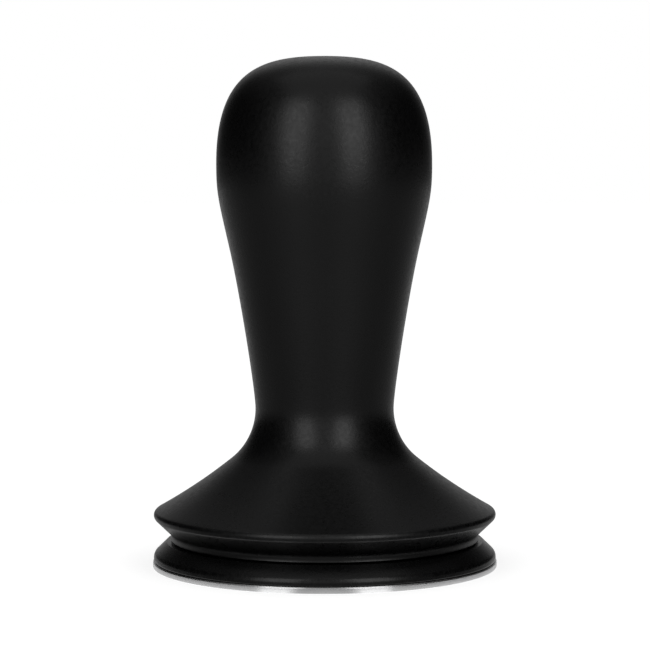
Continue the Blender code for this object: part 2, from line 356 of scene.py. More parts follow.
# %% [markdown]
# ## A lathe made of nodes
# Blender has a Screw modifier for turned shapes. A small Geometry Nodes tree does the same and more:
# it bends a grid so that every column is one copy of the outline. Because a tree can treat points
# differently, the same lathe also cuts a hexagon socket, where the radius follows a hexagon, and a
# screw thread, where the rows climb by one pitch in each turn. Merging the doubles closes the seam
# and the poles. The tree also passes on the attribute that marks the convex edges.

# %% Lathe tree
END_INPUTS = {
    "Sharp Angle": ("Float", math.radians(40.0)),
    "Finish": ("Material", None),
}
lathe, lathe_in, lathe_out = new_group(
    "Lathe",
    "GeometryNodeTree",
    {
        "Outline": ("Geometry", None),
        "Segments": ("Int", 192),
        "Pitch": ("Float", 0.0),
        "Thread Foot": ("Float", 0.0),
        "Thread Head": ("Float", 0.0),
        "Thread End Radius": ("Float", 0.0),
        **END_INPUTS,
    },
    {"Piece": "Geometry"},
)
MERGE = 1e-6


def integers(operation, first, second):
    pair = {0: first, 1: second}
    return node(lathe, "FunctionNodeIntegerMath", pair, operation=operation).outputs[0]


def from_outline(kind, field, row):
    """What the outline's point in a row has of a field."""
    return node(
        lathe,
        "GeometryNodeSampleIndex",
        {"Geometry": lathe_in["Outline"], "Value": field, "Index": row},
        data_type=kind,
    ).outputs["Value"]


def named(name):
    return node(
        lathe, "GeometryNodeInputNamedAttribute", {"Name": name}, data_type="FLOAT"
    ).outputs["Attribute"]


rows = node(
    lathe, "GeometryNodeAttributeDomainSize", {"Geometry": lathe_in["Outline"]}, component="MESH"
).outputs["Point Count"]
grid = node(
    lathe,
    "GeometryNodeMeshGrid",
    {"Vertices X": integers("ADD", lathe_in["Segments"], 1), "Vertices Y": rows},
).outputs["Mesh"]
index = node(lathe, "GeometryNodeInputIndex").outputs["Index"]
row = integers("MODULO", index, rows)
turn = calc(lathe, "DIVIDE", integers("DIVIDE_FLOOR", index, rows), lathe_in["Segments"])
angle = calc(lathe, "MULTIPLY", turn, math.tau)
spot = node(
    lathe,
    "ShaderNodeSeparateXYZ",
    {0: from_outline("FLOAT_VECTOR", node(lathe, "GeometryNodeInputPosition").outputs[0], row)},
).outputs

# %% [markdown]
# The hexagon and the thread are two corrections to radius and height. A hexagon's wall is nearest the
# axis in the middle of each flat, so the radius grows towards the corners as 1 / cos. A thread's rows
# climb with the turn but stop at both ends, where a chamfer takes the radius in.

# %% Lathe tree, radius and height
climb = calc(lathe, "ADD", spot["Z"], calc(lathe, "MULTIPLY", turn, lathe_in["Pitch"]))
foot, head = lathe_in["Thread Foot"], lathe_in["Thread Head"]
climb = calc(lathe, "MINIMUM", calc(lathe, "MAXIMUM", climb, foot), head)
to_end = calc(
    lathe, "MINIMUM", calc(lathe, "SUBTRACT", climb, foot), calc(lathe, "SUBTRACT", head, climb)
)
chamfered = calc(
    lathe, "MINIMUM", spot["X"], calc(lathe, "ADD", lathe_in["Thread End Radius"], to_end)
)
from_flat = calc(
    lathe, "SUBTRACT", calc(lathe, "FLOORED_MODULO", angle, math.pi / 3), math.pi / 6
)
six_sided = calc(lathe, "DIVIDE", spot["X"], calc(lathe, "COSINE", from_flat))


def chosen(mask, plain, special):
    ends = {0: mask, 2: plain, 3: special}
    return node(lathe, "ShaderNodeMix", ends, data_type="FLOAT").outputs[0]


def polar(tree, radius, angle, height=0.0):
    """The place at a radius, an angle and a height."""
    x, y = (calc(tree, "MULTIPLY", radius, calc(tree, way, angle)) for way in ("COSINE", "SINE"))
    return node(tree, "ShaderNodeCombineXYZ", {"X": x, "Y": y, "Z": height}).outputs[0]


threaded = from_outline("FLOAT", named("thread"), row)
hexed = from_outline("FLOAT", named("hex"), row)
height = chosen(threaded, spot["Z"], climb)
radius = chosen(threaded, chosen(hexed, spot["X"], six_sided), chamfered)
bent = node(
    lathe,
    "GeometryNodeSetPosition",
    {"Geometry": grid, "Position": polar(lathe, radius, angle, height)},
).outputs[0]
marked = node(
    lathe,
    "GeometryNodeStoreNamedAttribute",
    {"Geometry": bent, "Name": EDGE_NAME, "Value": from_outline("FLOAT", named(EDGE_NAME), row)},
    data_type="FLOAT",
    domain="POINT",
).outputs[0]

# %% [markdown]
# An outline that runs down the outer side leaves the grid's faces pointing inwards, so they are
# flipped. The first and last columns lie on top of each other now, and so do all the points of a row
# with no radius. Merge by Distance makes them one. Edges with a wide angle between their faces
# are marked sharp, and the tree ends, as every tree here does, by realizing what it holds and giving
# it a material.

# %% Lathe tree, end
def end_tree(tree, geometry, inputs, output):
    """Smooth shading with sharp edges kept, then Realize Instances and Set Material."""
    smooth = node(tree, "GeometryNodeSetShadeSmooth", {"Geometry": geometry}, domain="FACE")
    wide = calc(
        tree,
        "GREATER_THAN",
        node(tree, "GeometryNodeInputMeshEdgeAngle").outputs["Unsigned Angle"],
        inputs["Sharp Angle"],
    )
    crisp = node(
        tree,
        "GeometryNodeSetShadeSmooth",
        {"Geometry": smooth.outputs[0], "Selection": wide, "Shade Smooth": False},
        domain="EDGE",
    )
    real = node(tree, "GeometryNodeRealizeInstances", {"Geometry": crisp.outputs[0]})
    coated = {"Geometry": real.outputs[0], "Material": inputs["Finish"]}
    fill(output, {0: node(tree, "GeometryNodeSetMaterial", coated).outputs[0]})


outward = node(lathe, "GeometryNodeFlipFaces", {"Mesh": marked}).outputs[0]
closed = node(lathe, "GeometryNodeMergeByDistance", {"Geometry": outward, "Distance": MERGE})
end_tree(lathe, closed.outputs[0], lathe_in, lathe_out)
print("lathe:", len(lathe.nodes), "nodes")

# %% [markdown]
# Four helpers put the lathe to work. The first writes an outline as a mesh of loose points with the
# attributes that the tree reads. How convex a point is follows from how far the outline turns there.
# The second runs a tree on a mesh and keeps the result as a plain mesh, with no modifier left. The
# third does both, and the last measures what was made.

# %% Lathe helpers
SHARPEST = 1.2


def outline_mesh(name, outline):
    """Points (radius, height, hex, thread) in mm as a mesh in metres, with their attributes."""
    points = [(*point, 0.0, 0.0)[:4] for point in outline]
    mesh = bpy.data.meshes.new(name + "_outline")
    mesh.from_pydata([(r * MM, 0.0, z * MM) for r, z, _, _ in points], [], [])
    edges = [0.0] * len(points)
    for number in range(1, len(points) - 1):
        before, here, after = (Vector(points[number + step][:2]) for step in (-1, 0, 1))
        come, go = here - before, after - here
        if come.length and go.length:
            bend = math.atan2(come.y * go.x - come.x * go.y, come.dot(go))
            edges[number] = min(1.0, max(0.0, bend / (come.length + go.length) * 2 / SHARPEST))
    for title, values in (
        (EDGE_NAME, edges),
        ("hex", [point[2] for point in points]),
        ("thread", [point[3] for point in points]),
    ):
        mesh.attributes.new(title, "FLOAT", "POINT").data.foreach_set("value", values)
    return mesh


def grown(name, mesh, tree, inputs):
    """Runs a tree on a mesh and gives back the result as a plain object."""
    piece = bpy.data.objects.new(name, mesh)
    step = piece.modifiers.new(tree.name, "NODES")
    step.node_group = tree
    for item in tree.interface.items_tree:
        if item.in_out == "INPUT" and item.name in inputs:
            step[item.identifier] = inputs[item.name]
    scene.collection.objects.link(piece)
    graph = bpy.context.evaluated_depsgraph_get()
    shape = bpy.data.meshes.new_from_object(
        piece.evaluated_get(graph), preserve_all_data_layers=True, depsgraph=graph
    )
    piece.modifiers.remove(step)
    piece.data = shape
    bpy.data.meshes.remove(mesh)
    shape.name = name
    return piece


def turned(name, outline, finish, inputs=None, ring=False):
    """Turned piece; a ring's outline closes on itself."""
    if ring:
        outline = [*outline, outline[0]]
    mesh = outline_mesh(name, outline)
    return grown(name, mesh, lathe, {"Finish": finish, **(inputs or {})})


def measure(piece):
    """Prints a piece's triangles, volume (negative if inside out), open edges and box."""
    shell = bmesh.new()
    shell.from_mesh(piece.data)
    volume = shell.calc_volume(signed=True) / MM**3 / 1000
    open_edges = sum(not edge.is_manifold for edge in shell.edges)
    shell.free()
    piece.data.calc_loop_triangles()
    places = [vertex.co for vertex in piece.data.vertices]
    low, high = (map(pick, zip(*places)) for pick in (min, max))
    print(
        f"{piece.name}: {len(piece.data.loop_triangles)} triangles, {volume:.3f} cm3,",
        f"{open_edges} open edges, {in_mm(low)} to {in_mm(high)}",
    )


# %% [markdown]
# ## The handle
# The handle is one turned piece. The bulb fills the palm, the taper and the waist are for the fingers,
# and the skirt spreads the push over the base. Its outer side is four Bezier stretches and three arcs,
# set to the outline in the photograph. A reach is the length of a Bezier handle, first up and then
# down. Below the rim the side runs back at 46 degrees to the root of the V groove. The inside is never
# seen whole, but the recess shows when the handle is unscrewed.

# %% Handle outline
CROWN_HEIGHT = 85.5
CROWN_REACH = 9.85
BULB = (18.05, 67.5)
BULB_REACH = (16.2, 4.9)
TAPER = (15.9, 53.5)
TAPER_REACH = (8.2, 8.0)
TAPER_LEAN = -12.7
NECK = (11.63, 26.6)
NECK_REACH = 2.7
NECK_ROUND = 11.0
NECK_SWEEP = 51.0
SKIRT_LEAN = 60.3
RIM_RADIUS = 28.8
RIM_ROUND = 0.88
GROOVE_LEAN = 46.0
GROOVE_ROOT = (25.85, 5.48)

crown, beside_crown = (0.0, CROWN_HEIGHT), (CROWN_REACH, CROWN_HEIGHT)
over_bulb, under_bulb = lean(BULB, 0.0, -BULB_REACH[0]), lean(BULB, 0.0, BULB_REACH[1])
over_taper = lean(TAPER, TAPER_LEAN, -TAPER_REACH[0])
under_taper = lean(TAPER, TAPER_LEAN, TAPER_REACH[1])
grip = joined(
    bezier(crown, beside_crown, over_bulb, BULB, 48),
    bezier(BULB, under_bulb, over_taper, TAPER, 18),
    bezier(TAPER, under_taper, lean(NECK, 0.0, -NECK_REACH), NECK, 26),
    arc((NECK[0] + NECK_ROUND, NECK[1]), NECK_ROUND, 180.0, 180.0 + NECK_SWEEP, 24),
)
slant = math.radians(GROOVE_LEAN)
rim_middle = RIM_RADIUS - RIM_ROUND
flank = rim_middle + RIM_ROUND * math.cos(slant)
flank_rise = (flank - GROOVE_ROOT[0]) / math.tan(slant)
rim_height = GROOVE_ROOT[1] + flank_rise + RIM_ROUND * math.sin(slant)
rim = arc((rim_middle, rim_height), RIM_ROUND, SKIRT_LEAN, -GROOVE_LEAN, 20)
third = math.dist(grip[-1], rim[0]) / 3
skirt = bezier(
    grip[-1], lean(grip[-1], NECK_SWEEP, third), lean(rim[0], SKIRT_LEAN, -third), rim[0], 20
)
print("handle outline:", len(grip), "points of grip,", len(skirt), "of skirt,", len(rim), "of rim")

# %% [markdown]
# The root of the groove is a wide round, and below it a short lip leans out again over the base. The
# lip stands about a tenth of a millimetre clear, which draws the fine dark seam. Inside, the handle is
# all straight stretches with rounded corners.

# %% Handle
ROOT_ROUND = 1.4
LIP_LEAN = 14.0
LIP_ROUND = 0.35
HANDLE_SEAT = 4.36
FLANK_HOLD = 0.15
BEVEL = 0.4
RECESS = 23.3
RECESS_TOP = 8.2
HUB_ROOM = 8.6
HUB_ROOM_TOP = 17.7
LEAD_IN = 1.0
BORE_RADIUS = 4.3
BORE_TOP = 37.5
BORE_TIP = 40.08

root_middle = (GROOVE_ROOT[0] + ROOT_ROUND, GROOVE_ROOT[1] - ROOT_ROUND * math.tan(slant / 2))
groove = arc(root_middle, ROOT_ROUND, 180.0 - GROOVE_LEAN, 180.0 + LIP_LEAN, 16)
lip_reach = (groove[-1][1] - HANDLE_SEAT) / math.cos(math.radians(LIP_LEAN))
inside = rounded(
    [
        (*groove[-1], 0.0),
        (*lean(groove[-1], LIP_LEAN, lip_reach), LIP_ROUND),
        (RECESS + BEVEL, HANDLE_SEAT, 0.08),
        (RECESS, HANDLE_SEAT + BEVEL, 0.08),
        (RECESS, RECESS_TOP, 0.4),
        (HUB_ROOM + LEAD_IN, RECESS_TOP, 0.1),
        (HUB_ROOM, RECESS_TOP + LEAD_IN, 0.1),
        (HUB_ROOM, HUB_ROOM_TOP, 0.3),
        (BORE_RADIUS + BEVEL, HUB_ROOM_TOP, 0.08),
        (BORE_RADIUS, HUB_ROOM_TOP + BEVEL, 0.08),
        (BORE_RADIUS, BORE_TOP, 0.1),
        (0.0, BORE_TIP, 0.0),
    ]
)
flank_start = lean(rim[-1], -GROOVE_LEAN, FLANK_HOLD)
handle_outline = joined(grip, skirt, rim, [flank_start], groove, inside)
handle = turned("turned_handle", handle_outline, handle_coat)
measure(handle)
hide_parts("handle")
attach(handle, "handle")

# %% [markdown]
# ## The base
# The base is a ring with a web and a hub, turned and coated like the handle. Only its cone and rim
# show, until the handle is unscrewed: then the pilot, the web with its three screws and the hub come
# into sight. It is turned first and drilled afterwards, as in a workshop.

# %% Base outline
BASE_FOOT = 1.06
BASE_SEAT = 4.24
BASE_RIM_ROUND = 1.34
BASE_RIM_MIDDLE = (27.48, 1.60)
HUB_TOP = 15.9
HUB_RADIUS = 8.3
WEB_TOP = 7.9
WEB_FOOT = 4.7
PILOT_RADIUS = 23.0
SEAL_SLOT = (22.1, 24.3)
SEAL_SLOT_TOP = 3.2
SPIGOT_HOLE = 20.3

base_rim = arc(BASE_RIM_MIDDLE, BASE_RIM_ROUND, GROOVE_LEAN, 0.0, 12)
cone_drop = base_rim[0][1] - BASE_SEAT
cone_head = lean(base_rim[0], GROOVE_LEAN, cone_drop / math.cos(slant))
upper = rounded(
    [
        (BORE_RADIUS + BEVEL, HUB_TOP, 0.06),
        (HUB_RADIUS - BEVEL, HUB_TOP, 0.1),
        (HUB_RADIUS, HUB_TOP - BEVEL, 0.1),
        (HUB_RADIUS, WEB_TOP, 1.0),
        (PILOT_RADIUS - BEVEL, WEB_TOP, 0.1),
        (PILOT_RADIUS, WEB_TOP - BEVEL, 0.1),
        (PILOT_RADIUS, BASE_SEAT, 0.15),
        (*cone_head, 0.12),
        (*base_rim[0], 0.0),
    ]
)
lower = rounded(
    [
        (*base_rim[-1], 0.0),
        (base_rim[-1][0], BASE_FOOT, 0.2),
        (SEAL_SLOT[1], BASE_FOOT, 0.08),
        (SEAL_SLOT[1], SEAL_SLOT_TOP, 0.2),
        (SEAL_SLOT[0], SEAL_SLOT_TOP, 0.2),
        (SEAL_SLOT[0], BASE_FOOT, 0.08),
        (SPIGOT_HOLE + BEVEL, BASE_FOOT, 0.08),
        (SPIGOT_HOLE, BASE_FOOT + BEVEL, 0.08),
        (SPIGOT_HOLE, WEB_FOOT, 0.3),
        (BORE_RADIUS, WEB_FOOT, 0.1),
        (BORE_RADIUS, HUB_TOP - BEVEL, 0.06),
        (BORE_RADIUS + BEVEL, HUB_TOP, 0.0),
    ]
)
base_outline = joined(upper, base_rim, lower[1:-1])
print("base outline:", len(base_outline), "points")

# %% [markdown]
# ## Drilling
# The sole's three screws sit in countersunk holes in the web. One hole is turned as a solid of its
# own, and copies of it are set round a circle. That ring of copies is a tree by itself, since the
# screws need it too.

# %% Ring of copies
SCREW_COUNT = 3
SCREW_CIRCLE = 14.15 * MM
FIRST_SCREW = math.radians(210.0)

copies, copies_in, copies_out = new_group(
    "Ring of copies",
    "GeometryNodeTree",
    {
        "Item": ("Geometry", None),
        "Count": ("Int", SCREW_COUNT),
        "Radius": ("Float", SCREW_CIRCLE),
        "First Angle": ("Float", FIRST_SCREW),
        **END_INPUTS,
    },
    {"Items": "Geometry"},
)
number = node(copies, "GeometryNodeInputIndex").outputs["Index"]
share = calc(copies, "DIVIDE", number, copies_in["Count"])
bearing = calc(copies, "MULTIPLY_ADD", share, math.tau, copies_in["First Angle"])
places = node(
    copies,
    "GeometryNodePoints",
    {"Count": copies_in["Count"], "Position": polar(copies, copies_in["Radius"], bearing)},
).outputs[0]
ring = node(
    copies, "GeometryNodeInstanceOnPoints", {"Points": places, "Instance": copies_in["Item"]}
).outputs[0]
single = node(copies, "GeometryNodeRealizeInstances", {"Geometry": ring}).outputs[0]
end_tree(copies, single, copies_in, copies_out)
print("ring of copies:", len(copies.nodes), "nodes")

# %% [markdown]
# A second tree uses the ring of copies as a group, and takes all the holes away from a piece at once
# with a Mesh Boolean, so that the piece stays one closed solid.

# %% Drilling tree
drill, drill_in, drill_out = new_group(
    "Drilled holes",
    "GeometryNodeTree",
    {"Piece": ("Geometry", None), "Hole": ("Object", None), **END_INPUTS},
    {"Drilled": "Geometry"},
)
tool = node(drill, "GeometryNodeObjectInfo", {"Object": drill_in["Hole"]}).outputs["Geometry"]
tools = node(
    drill, "GeometryNodeGroup", {"Item": tool, "Finish": drill_in["Finish"]}, node_tree=copies
)
taken = node(
    drill,
    "GeometryNodeMeshBoolean",
    {"Mesh 1": drill_in["Piece"], "Mesh 2": tools.outputs[0]},
    operation="DIFFERENCE",
    solver="EXACT",
).outputs["Mesh"]
end_tree(drill, taken, drill_in, drill_out)
print("drilling:", len(drill.nodes), "nodes")


def drilled(piece, hole, finish):
    """The piece with a circle of holes, as a plain object that takes the piece's place."""
    name, mesh = piece.name, piece.data
    bpy.data.objects.remove(piece)
    return grown(name, mesh, drill, {"Hole": hole, "Finish": finish})


# %% [markdown]
# The hole is the screw's own outline, grown by a little, and it reaches past both faces of the web.

# %% Base
SCREW_TOP = 7.8
SCREW_HEAD = 2.9
SCREW_SHANK = 1.5
SCREW_EDGE = 0.25
SCREW_TIP = 1.8
HOLE_ROOM = 0.15
HOLE_HEAD = WEB_TOP + 0.5
HOLE_FOOT = SCREW_TIP - 0.3

cone_top = SCREW_TOP - SCREW_EDGE - HOLE_ROOM * (math.sqrt(2) - 1)
hole_outline = [
    (0.0, HOLE_HEAD),
    (SCREW_HEAD + HOLE_ROOM, HOLE_HEAD),
    (SCREW_HEAD + HOLE_ROOM, cone_top),
    (SCREW_SHANK + HOLE_ROOM, cone_top - (SCREW_HEAD - SCREW_SHANK)),
    (SCREW_SHANK + HOLE_ROOM, HOLE_FOOT),
    (0.0, HOLE_FOOT),
]
hole = turned("screw_hole", hole_outline, base_coat, {"Segments": 48})
base = drilled(turned("turned_base", base_outline, base_coat, ring=True), hole, base_coat)
measure(base)
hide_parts("base")
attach(base, "base")

# %% [markdown]
# ## Marks of the tool
# A tool that feeds slowly across turning steel leaves a fine spiral, which looks like rings. The rings
# lie where radius and height are the same, so both are worked out from the Object coordinates and
# drive a noise. Two more coordinates go round with the angle, slowly, so that no ring is perfect and
# no seam shows. The sole, the screws, the stud and the washer use this group.

# %% Tool marks group
tooling, tool_in, tool_out = new_group(
    "Tool marks",
    "ShaderNodeTree",
    {"Vector": ("Vector", None), "Spacing": ("Float", 0.05 * MM)},
    {"Height": "Float", "Tone": "Float"},
)
axes = node(tooling, "ShaderNodeSeparateXYZ", {0: tool_in["Vector"]}).outputs
AXIS_ROOM = 1e-12
COARSER = 6.0
squares = calc(tooling, "MULTIPLY_ADD", axes["Y"], axes["Y"], AXIS_ROOM)
squares = calc(tooling, "MULTIPLY_ADD", axes["X"], axes["X"], squares)
across = calc(tooling, "SQRT", squares)


def rings(spacing, round_share):
    """Noise that changes across the rings and slowly along them."""
    out, up = (calc(tooling, "DIVIDE", length, spacing) for length in (across, axes["Z"]))
    cosine, sine = (
        calc(tooling, "MULTIPLY", calc(tooling, "DIVIDE", axes[name], across), round_share)
        for name in "XY"
    )
    place = node(tooling, "ShaderNodeCombineXYZ", {"X": out, "Y": up, "Z": cosine}).outputs[0]
    return node(
        tooling,
        "ShaderNodeTexNoise",
        {"Vector": place, "W": sine, "Scale": 1.0, "Detail": 2.0},
        noise_dimensions="4D",
    ).outputs["Fac"]


coarser = calc(tooling, "MULTIPLY", tool_in["Spacing"], COARSER)
fill(
    tool_out,
    {
        "Height": rings(tool_in["Spacing"], round_share=3.0),
        "Tone": rings(coarser, round_share=1.5),
    },
)
print("tool marks group:", len(tooling.nodes), "nodes")

# %% [markdown]
# ## Stainless steel
# The sole is turned and faced stainless steel, left bare. Fine rings scatter light across themselves
# and hardly along themselves, so a reflection is drawn out up and down the edge, and out from the
# middle of the face. Such rings are finer than a pixel. The shader's own anisotropy stands for them,
# turned a quarter round from the direction that the Tangent node gives, and the bump adds the
# coarser marks that can be seen.

# %% Steel
ACROSS_RINGS = 0.25
STEEL_WEAR = 0.05


def steel_finish(name, dark, bright, rough, marks_apart, depth):
    """Bare machined steel; rough is the range of its roughness."""
    made, tree, shader, place = new_material(name)
    lines = use(tree, tooling, {"Vector": place, "Spacing": marks_apart})
    wear = use(tree, handling, {"Vector": place})
    gloss = calc(
        tree,
        "ADD",
        spread(tree, lines["Tone"], *rough),
        spread(tree, wear["Polish"], 0.0, STEEL_WEAR),
    )
    round_about = node(tree, "ShaderNodeTangent", direction_type="RADIAL", axis="Z")
    fill(
        shader,
        {
            "Base Color": mixed(tree, lines["Tone"], dark, bright),
            "Roughness": gloss,
            "Normal": bumped(tree, lines["Height"], 0.5, depth),
            "Tangent": round_about.outputs[0],
            "Metallic": 1.0,
            "Anisotropic": 0.95,
            "Anisotropic Rotation": ACROSS_RINGS,
        },
    )
    return made


turned_steel = steel_finish(
    "turned_steel",
    dark=(0.78, 0.78, 0.785, 1.0),
    bright=(0.94, 0.94, 0.945, 1.0),
    rough=(0.23, 0.29),
    marks_apart=0.05 * MM,
    depth=0.004 * MM,
)
screw_steel = steel_finish(
    "screw_steel",
    dark=(0.44, 0.44, 0.445, 1.0),
    bright=(0.62, 0.62, 0.62, 1.0),
    rough=(0.30, 0.44),
    marks_apart=0.03 * MM,
    depth=0.003 * MM,
)
print("steels:", turned_steel.name, screw_steel.name)

# %% [markdown]
# ## The sole
# The sole is a stepped disc. The step fits up into the base, and the wide part shows as a bright line
# a millimetre high under the black rim. Its lower edge is only just broken, because a sharp corner
# keeps coffee from creeping up the side of the basket. The upper edge has a fine chamfer.

# %% Sole
SOLE_RADIUS = 29.0
SOLE_EDGE = 1.0
SOLE_DRAFT = 0.03
CHAMFER_WIDTH = 0.12
CHAMFER_FOOT = 0.81
SPIGOT_RADIUS = 20.0
SPIGOT_TOP = 4.4

side_top = SOLE_RADIUS - SOLE_DRAFT
sole_outline = rounded(
    [
        (0.0, SPIGOT_TOP, 0.0),
        (SPIGOT_RADIUS - BEVEL, SPIGOT_TOP, 0.1),
        (SPIGOT_RADIUS, SPIGOT_TOP - BEVEL, 0.1),
        (SPIGOT_RADIUS, SOLE_EDGE, 0.2),
        (side_top - CHAMFER_WIDTH, SOLE_EDGE, 0.03),
        (side_top, CHAMFER_FOOT, 0.08),
        (SOLE_RADIUS, 0.0, 0.05),
        (0.0, 0.0, 0.0),
    ]
)
sole = drilled(turned("stepped_sole", sole_outline, turned_steel), hole, turned_steel)
measure(sole)
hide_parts("sole")
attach(sole, "base")
bpy.data.objects.remove(hole)

# %% [markdown]
# ## Screws
# A metric thread has flanks at 60 degrees, a flat crest an eighth of the pitch wide and a flat root a
# quarter wide. That gives four rows for each turn. The rows run one pitch past the foot, because a row
# climbs by a pitch as it goes round, and the lathe stops them at the ends.

# %% Screws
CREST_SHARE = 1 / 8
ROOT_SHARE = 1 / 4


def thread_rows(shank, pitch, head, foot):
    """Rows of a thread from its head down to a pitch below its foot, and the thread's root."""
    side = (1 - CREST_SHARE - ROOT_SHARE) / 2
    root = shank - side * pitch * math.sqrt(3)
    steps = ((0.0, shank), (CREST_SHARE, shank), (CREST_SHARE + side, root), (1 - side, root))
    points, turn_number = [], 0
    while head - turn_number * pitch > foot - pitch:
        for share, size in steps:
            points.append((size, head - (turn_number + share) * pitch, 0.0, 1.0))
        turn_number += 1
    return points, root


def thread_inputs(segments, *sizes):
    """What the lathe needs to know of a thread: pitch, foot, head and end radius in mm."""
    names = ("Pitch", "Thread Foot", "Thread Head", "Thread End Radius")
    return {"Segments": segments, **{name: size * MM for name, size in zip(names, sizes)}}


SCREW_PITCH = 0.5
SCREW_END = 1.1
HEX_FLAT = 1.0
HEX_MOUTH = 1.25
HEX_DEPTH = 1.2
thread_head = SCREW_TOP - SCREW_EDGE - (SCREW_HEAD - SCREW_END)
threads, root = thread_rows(SCREW_SHANK, SCREW_PITCH, thread_head, SCREW_TIP)
screw_outline = [
    (0.0, SCREW_TOP - HEX_DEPTH - 0.3),
    (HEX_FLAT - 0.1, SCREW_TOP - HEX_DEPTH),
    (HEX_FLAT, SCREW_TOP - HEX_DEPTH, 1.0),
    (HEX_FLAT, SCREW_TOP - 0.1, 1.0),
    (HEX_MOUTH, SCREW_TOP),
    *rounded(
        [
            (HEX_MOUTH, SCREW_TOP, 0.0),
            (SCREW_HEAD, SCREW_TOP, 0.06),
            (SCREW_HEAD, SCREW_TOP - SCREW_EDGE, 0.06),
            (SCREW_END, thread_head, 0.0),
        ],
        3,
    )[1:],
    *threads,
    (SCREW_END, SCREW_TIP),
    (0.0, SCREW_TIP),
]
print("screw outline:", len(screw_outline), "points, thread root at", round(root, 3), "mm")
screw_thread = thread_inputs(48, SCREW_PITCH, SCREW_TIP, thread_head, SCREW_END)
screw = turned("screw", screw_outline, screw_steel, screw_thread)
measure(screw)
screw_mesh = screw.data
bpy.data.objects.remove(screw)
screws = grown("sole_screws", screw_mesh, copies, {"Finish": screw_steel})
measure(screws)
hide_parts("sole_screw_1", "sole_screw_2", "sole_screw_3")
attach(screws, "base")

# %% [markdown]
# ## The stud
# The stud is a length of M8 thread with a hexagon socket in its lower end. It stays in the handle, and
# the handle climbs by one pitch, 1.25 mm, in each turn.

# %% Stud
STUD_RADIUS = 4.0
STUD_PITCH = 1.25
STUD_HEAD = 37.2
STUD_FOOT = 5.2
STUD_END = 3.2
STUD_FLAT = 2.0
STUD_MOUTH = 2.5
STUD_SOCKET = 4.5

threads, root = thread_rows(STUD_RADIUS, STUD_PITCH, STUD_HEAD, STUD_FOOT)
stud_outline = [
    (0.0, STUD_HEAD),
    (STUD_END, STUD_HEAD),
    *threads,
    (STUD_END, STUD_FOOT),
    (STUD_MOUTH, STUD_FOOT),
    (STUD_FLAT, STUD_FOOT + 0.2, 1.0),
    (STUD_FLAT, STUD_FOOT + STUD_SOCKET, 1.0),
    (STUD_FLAT - 0.2, STUD_FOOT + STUD_SOCKET),
    (0.0, STUD_FOOT + STUD_SOCKET + 0.7),
]
stud_thread = thread_inputs(72, STUD_PITCH, STUD_FOOT, STUD_HEAD, STUD_END)
stud = turned("threaded_stud", stud_outline, screw_steel, stud_thread)
measure(stud)
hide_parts("stud")
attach(stud, "handle")

# %% [markdown]
# ## Washer and seal
# A nylon washer lets the handle be screwed down hard without galling, and a rubber ring keeps coffee
# out of the joint between base and sole. Nylon is milky and a little waxy, so it gets some light
# under its surface.

# %% Washer
WASHER_RADIUS = 8.3
WASHER_TOP = 17.4
WASHER_FOOT = 16.2
WASHER_BEVEL = 0.2


def patterned(name, group, size, dark, pale, rough, depth):
    """Finish whose colour, roughness and bumps follow one pattern; size is that of its marks."""
    made, tree, shader, place = new_material(name)
    pattern = use(tree, group, {0: place, 1: size})
    fill(
        shader,
        {
            "Base Color": mixed(tree, pattern["Tone"], dark, pale),
            "Roughness": spread(tree, pattern["Tone"], *rough),
            "Normal": bumped(tree, pattern["Height"], 0.4, depth),
        },
    )
    return made, shader


nylon, shader = patterned(
    "milky_nylon",
    tooling,
    size=0.08 * MM,
    dark=(0.74, 0.72, 0.65, 1.0),
    pale=(0.84, 0.83, 0.79, 1.0),
    rough=(0.38, 0.52),
    depth=0.005 * MM,
)
fill(shader, {"Subsurface Weight": 0.15, "Subsurface Scale": 0.5 * MM})
washer_outline = rounded(
    [
        (BORE_RADIUS, WASHER_TOP, 0.05),
        (WASHER_RADIUS - WASHER_BEVEL, WASHER_TOP, 0.05),
        (WASHER_RADIUS, WASHER_TOP - WASHER_BEVEL, 0.05),
        (WASHER_RADIUS, WASHER_FOOT + WASHER_BEVEL, 0.05),
        (WASHER_RADIUS - WASHER_BEVEL, WASHER_FOOT, 0.05),
        (BORE_RADIUS, WASHER_FOOT, 0.05),
    ],
    3,
)
washer = turned("nylon_washer", washer_outline, nylon, {"Segments": 96}, ring=True)
measure(washer)
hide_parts("thrust_washer")
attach(washer, "washer")

# %% [markdown]
# The seal is a plain ring with a round section. Rubber is matt, with a skin of finer grain than the
# coat has.

# %% Seal
SEAL_MIDDLE = (23.2, 2.1)
SEAL_ROUND = 0.8

rubber, _ = patterned(
    "black_rubber",
    grain,
    size=0.25 * MM,
    dark=(0.014, 0.014, 0.014, 1.0),
    pale=(0.028, 0.028, 0.027, 1.0),
    rough=(0.55, 0.8),
    depth=0.02 * MM,
)
seal_outline = arc(SEAL_MIDDLE, SEAL_ROUND, 90.0, -270.0, 28)[:-1]
seal = turned("rubber_seal", seal_outline, rubber, ring=True)
measure(seal)
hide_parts("seal_ring")
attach(seal, "base")

# %% [markdown]
# ## The studio
# The background of the photograph is pure white. The world is white to the camera and to reflections,
# and pale grey to diffuse light, so that it fills the set without bleaching it. The floor does the
# same: it glows just enough to reach white for the camera, and still takes the soft shadow.

# %% World and floor
AMBIENT = 0.75
FLOOR_GLOW = 0.63
FLOOR_COLOUR = (0.5, 0.5, 0.5, 1.0)
WHITE = (1.0, 1.0, 1.0, 1.0)
FLOOR_SIZE = 4.0


def seen_directly(tree):
    """1 for rays from the camera and for those that mirrors and glass send on, 0 for the rest."""
    rays = node(tree, "ShaderNodeLightPath").outputs
    seen = calc(tree, "MAXIMUM", rays["Is Camera Ray"], rays["Is Glossy Ray"])
    return calc(tree, "MAXIMUM", seen, rays["Is Transmission Ray"])


